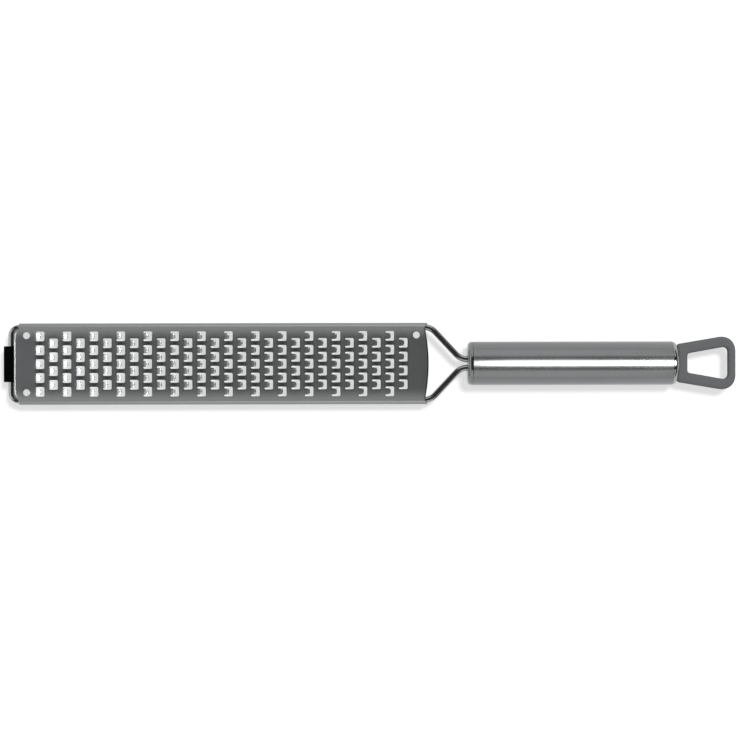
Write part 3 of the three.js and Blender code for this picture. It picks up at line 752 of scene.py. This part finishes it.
def makeLoop(material):
    spec = loopSpec
    seat, end = rearHigh.x + spec["seatGap"], loopHigh.x
    slope = (spec["endWidth"] - spec["neckWidth"]) / 2 / (end - rearHigh.x)
    sideBar = spec["bar"] * math.hypot(1, slope)
    halfAt = lambda x: spec["neckWidth"] / 2 + slope * (x - rearHigh.x)
    holeStart, holeEnd = rearHigh.x + spec["baseBar"], end - spec["endBar"]
    bm = bmesh.new()
    outlines = ((seat, end, 0, spec["seatCorner"], spec["endCorner"]),
                (holeStart, holeEnd, sideBar, spec["holeCorner"], spec["holeEndCorner"]))
    for lowX, highX, inset, baseCorner, endCorner in outlines:
        corners = [(x, side * (halfAt(x) - inset), loopLow.z) for x, side in
                   ((lowX, -1), (highX, -1), (highX, 1), (lowX, 1))]
        chain = chainVerts(bm, corners)
        bm.edges.new((chain[-1], chain[0]))
        roundCorners(bm, [chain[0], chain[3]], baseCorner, spec["cornerSteps"])
        roundCorners(bm, [chain[1], chain[2]], endCorner, spec["cornerSteps"])
        base = edgesWhere(bm, lambda co: abs(co.x - lowX) < near)
        bmesh.ops.subdivide_edges(bm, edges=base, cuts=spec["seatCuts"])
    bmesh.ops.bridge_loops(bm, edges=bm.edges[:])
    grown = bmesh.ops.extrude_face_region(bm, geom=bm.faces[:])["geom"]
    bmesh.ops.translate(bm, verts=vertsOf(grown), vec=(0, 0, loopHigh.z - loopLow.z))
    bmesh.ops.recalc_face_normals(bm, faces=bm.faces[:])
    rims = [edge for edge in bm.edges if edge.calc_face_angle(0) > spec["rimAngle"]
            and abs(edge.verts[0].co.z - edge.verts[1].co.z) < near]
    roundEdges(bm, rims, spec["edge"], spec["edgeSteps"])
    for vert in bm.verts:
        if vert.co.x < seat + spec["seatDepth"]:
            vert.co.x -= domeDrop(math.hypot(vert.co.y, vert.co.z - wireZ))
    # the tongue that goes through the cap's slot, with the hole for the cross pin
    pinX = (pinLow.x + pinHigh.x) / 2
    pinRadius = (pinHigh.x - pinLow.x) / 2
    half = spec["tongueWidth"] / 2
    start, stop = pinX - pinRadius - spec["tonguePast"], seat + spec["tongueInto"]
    underZ = wireZ - spec["tongueHeight"] / 2
    chain = chainVerts(bm, [(start, -half, underZ), (stop, -half, underZ), (stop, half, underZ),
                            (start, half, underZ)])
    bm.edges.new((chain[-1], chain[0]))
    hole = bmesh.ops.create_circle(bm, segments=spec["pinSides"], radius=pinRadius + spec["pinGap"])["verts"]
    bmesh.ops.translate(bm, verts=hole, vec=(pinX, 0, underZ))
    plate = bmesh.ops.triangle_fill(bm, edges=loopEdges(chain + hole), use_beauty=True, normal=(0, 0, 1))
    grown = bmesh.ops.extrude_face_region(bm, geom=facesOf(plate["geom"]))["geom"]
    bmesh.ops.translate(bm, verts=vertsOf(grown), vec=(0, 0, spec["tongueHeight"]))
    bmesh.ops.recalc_face_normals(bm, faces=bm.faces[:])
    loop = finishPiece("moulded_loop", bm, material, "hanging_loop")
    softenEdges(loop, *spec["soft"])
    return loop


# Plug and pin inside the handle keep their solids
plugFinish = {"dark": (0.6, 0.59, 0.55), "light": (0.7, 0.69, 0.65), "rough": (0.5, 0.65),
              "specular": 0.4, "skin": 3500, "smudge": 70, "bump": 0.15}
pinFinish = {"dark": (0.4, 0.405, 0.41), "light": (0.5, 0.505, 0.51), "rough": (0.15, 0.25),
             "grain": (900, 900, 2500), "smudge": 120, "bump": 0.04}

blade = makeBlade(makeBladeSteel())
wire = makeWire(makeSteel("polishedWireSteel", wireFinish))
foot = makeFoot(makeMoulded("blackFootRubber", footFinish))
tube = makeTube(makeSteel("satinHandleSteel", tubeFinish))
frontCap = makeFrontCap(makeSteel("satinCapSteel", frontFinish))
rearCap = makeRearCap(makeSteel("polishedCapSteel", rearFinish))
loop = makeLoop(makeMoulded("greyLoopPlastic", loopFinish))
for node, material in (("wire_anchor", makeMoulded("plugPlastic", plugFinish)),
                       ("loop_pin", makeSteel("drawnPinSteel", pinFinish))):
    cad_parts[node].data.materials.clear()
    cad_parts[node].data.materials.append(material)
print("inner pieces finished: wire_anchor, loop_pin")

# Studio
studio = {
    "cameraX": -0.975, "cameraY": -2.3, "cameraHeight": 1012, "cameraRoll": -0.1, "lens": 94.07,
    "floorHalf": 3, "floorTone": 0.6, "floorGlow": 0.56, "floorMirror": 0.76,
    "room": 0.36, "zenith": 1.0, "horizon": 0.8, "horizonTop": 0.4,
}
# bent cards by their corners in X and Z, each with its half width
cards = {
    "bladeCard": {"tone": 0.1, "half": 0.6, "corners": ((0.058, 0.8), (-0.45, 0.8))},
    "bladeWall": {"tone": 0.03, "half": 1.5, "corners": ((-0.45, 0.8), (-0.9, 0.8), (-0.9, 0.2))},
    "handleCard": {"tone": 0.03, "half": 0.6, "corners": ((0.058, 0.8), (1.2, 0.8))},
    "rearWall": {"tone": 0.03, "half": 1.5, "corners": ((0.9, 0.8), (0.9, 0.1))},
}
# a lamp with pieces lights these alone
lamps = {
    "keyLamp": {"power": 57.0, "size": (0.56, 0.56), "place": (0.66, 0.88, 3.0), "aim": (0, 0, 0),
                "pieces": ()},
    "handleStrip": {"power": 17.0, "size": (1.7, 0.36), "place": (0.75, 0, 0.78), "aim": (0.75, 0, 0),
                    "pieces": (tube, rearCap)},
    "handleFill": {"power": 0.7, "size": (1.0, 1.2), "place": (0.25, 0, 0.78), "aim": (0.25, 0, 0),
                   "pieces": (tube,)},
    "bladeLamp": {"power": 0.95, "size": (1.17, 1.0), "place": (-0.19, 0, 0.78), "aim": (-0.19, 0, 0),
                  "pieces": (blade,)},
    "tipLamp": {"power": 0.4, "size": (0.12, 0.05), "place": (-0.36, 0, 0.12), "aim": (-0.17, 0, 0.013),
                "pieces": (blade,)},
    "tipGlint": {"power": 0.25, "size": (0.3, 0.2), "place": (-0.36, 0, 0.14), "aim": (-0.186, 0, 0.013),
                 "pieces": (wire,)},
    "capLamp": {"power": 7.0, "size": (3.0, 0.6), "place": (-0.8, 0, 0.5), "aim": (0.05, 0, 0.012),
                "pieces": (frontCap,)},
}


def addStage(name, bm, material):
    mesh = bpy.data.meshes.new(name)
    bm.to_mesh(mesh)
    bm.free()
    mesh.materials.append(material)
    plane = bpy.data.objects.new(name, mesh)
    bpy.context.scene.collection.objects.link(plane)
    return plane


def seenRays(tree, mirrored):
    # 1 for what the camera sees directly, and a share of it for what it sees in metal and glass
    rays = tree.nodes.new("ShaderNodeLightPath")
    seen = rays.outputs["Is Camera Ray"]
    for other in ("Is Glossy Ray", "Is Transmission Ray"):
        add = tree.nodes.new("ShaderNodeMath")
        add.operation = "MULTIPLY_ADD"
        add.inputs[1].default_value = mirrored
        tree.links.new(rays.outputs[other], add.inputs[0])
        tree.links.new(seen, add.inputs[2])
        seen = add.outputs[0]
    return seen


def makeFloor():
    # pale paper that shows as white and keeps the shadow
    material = bpy.data.materials.new("paleFloor")
    material.use_nodes = True
    tree = material.node_tree
    tree.nodes.clear()
    output = tree.nodes.new("ShaderNodeOutputMaterial")
    paper = tree.nodes.new("ShaderNodeBsdfDiffuse")
    paper.inputs["Color"].default_value = (*[studio["floorTone"]] * 3, 1)
    glow = tree.nodes.new("ShaderNodeEmission")
    level = tree.nodes.new("ShaderNodeMath")
    level.operation = "MULTIPLY"
    level.inputs[1].default_value = studio["floorGlow"]
    both = tree.nodes.new("ShaderNodeAddShader")
    tree.links.new(seenRays(tree, studio["floorMirror"]), level.inputs[0])
    tree.links.new(level.outputs[0], glow.inputs["Strength"])
    tree.links.new(paper.outputs["BSDF"], both.inputs[0])
    tree.links.new(glow.outputs["Emission"], both.inputs[1])
    tree.links.new(both.outputs["Shader"], output.inputs["Surface"])
    bm = bmesh.new()
    bmesh.ops.create_grid(bm, x_segments=1, y_segments=1, size=studio["floorHalf"])
    addStage("floor", bm, material)


def makeDarkCard(name, spec):
    # dark card that only the metal shows
    material = bpy.data.materials.new(name + "Paper")
    material.use_nodes = True
    tree = material.node_tree
    tree.nodes.clear()
    output = tree.nodes.new("ShaderNodeOutputMaterial")
    glow = tree.nodes.new("ShaderNodeEmission")
    glow.inputs["Color"].default_value = (*[spec["tone"]] * 3, 1)
    tree.links.new(glow.outputs["Emission"], output.inputs["Surface"])
    bm = bmesh.new()
    chainVerts(bm, [(x, -spec["half"], z) for x, z in spec["corners"]])
    pushEdges(bm, bm.edges[:], (0, 2 * spec["half"], 0))
    card = addStage(name, bm, material)
    card.visible_camera = False
    card.visible_diffuse = False
    card.visible_shadow = False
    card.visible_transmission = False


def addLamp(name, spec):
    data = bpy.data.lights.new(name, "AREA")
    data.shape = "RECTANGLE"
    data.size, data.size_y = spec["size"]
    data.energy = spec["power"]
    lamp = bpy.data.objects.new(name, data)
    bpy.context.scene.collection.objects.link(lamp)
    lamp.location = spec["place"]
    lamp.rotation_euler = (Vector(spec["place"]) - Vector(spec["aim"])).to_track_quat("Z", "Y").to_euler()
    if spec["pieces"]:
        lit = bpy.data.collections.new(name + "Pieces")
        for piece in spec["pieces"]:
            lit.objects.link(piece)
        lamp.light_linking.receiver_collection = lit
    return lamp


def makeWorld():
    world = bpy.data.worlds.new("softRoom")
    world.use_nodes = True
    tree = world.node_tree
    tree.nodes.clear()
    output = tree.nodes.new("ShaderNodeOutputWorld")
    place = tree.nodes.new("ShaderNodeTexCoord")
    split = tree.nodes.new("ShaderNodeSeparateXYZ")
    ramp = tree.nodes.new("ShaderNodeMapRange")
    ramp.interpolation_type = "SMOOTHSTEP"
    ramp.inputs["From Max"].default_value = studio["horizonTop"]
    ramp.inputs["To Min"].default_value = studio["horizon"]
    ramp.inputs["To Max"].default_value = studio["zenith"]
    room = tree.nodes.new("ShaderNodeBackground")
    room.inputs["Color"].default_value = (1, 1, 1, 1)
    room.inputs["Strength"].default_value = studio["room"]
    white = tree.nodes.new("ShaderNodeBackground")
    white.inputs["Color"].default_value = (1, 1, 1, 1)
    choose = tree.nodes.new("ShaderNodeMixShader")
    tree.links.new(place.outputs["Generated"], split.inputs[0])
    tree.links.new(split.outputs["Z"], ramp.inputs["Value"])
    tree.links.new(ramp.outputs["Result"], white.inputs["Strength"])
    tree.links.new(seenRays(tree, 1), choose.inputs[0])
    tree.links.new(room.outputs[0], choose.inputs[1])
    tree.links.new(white.outputs[0], choose.inputs[2])
    tree.links.new(choose.outputs[0], output.inputs["Surface"])
    bpy.context.scene.world = world


makeFloor()
makeWorld()
for name, spec in cards.items():
    makeDarkCard(name, spec)
placed = {name: addLamp(name, spec) for name, spec in lamps.items()}
placed["keyLamp"].visible_glossy = False  # the metal shows the cards and not this lamp
lens = bpy.data.cameras.new("photoCamera")
lens.lens = studio["lens"]
camera = bpy.data.objects.new("photoCamera", lens)
camera.location = (studio["cameraX"] * mm, studio["cameraY"] * mm, studio["cameraHeight"] * mm)
camera.rotation_euler = (0, 0, math.radians(studio["cameraRoll"]))
bpy.context.scene.collection.objects.link(camera)
bpy.context.scene.camera = camera
bpy.context.scene.view_settings.view_transform = "Standard"
print("studio ready")
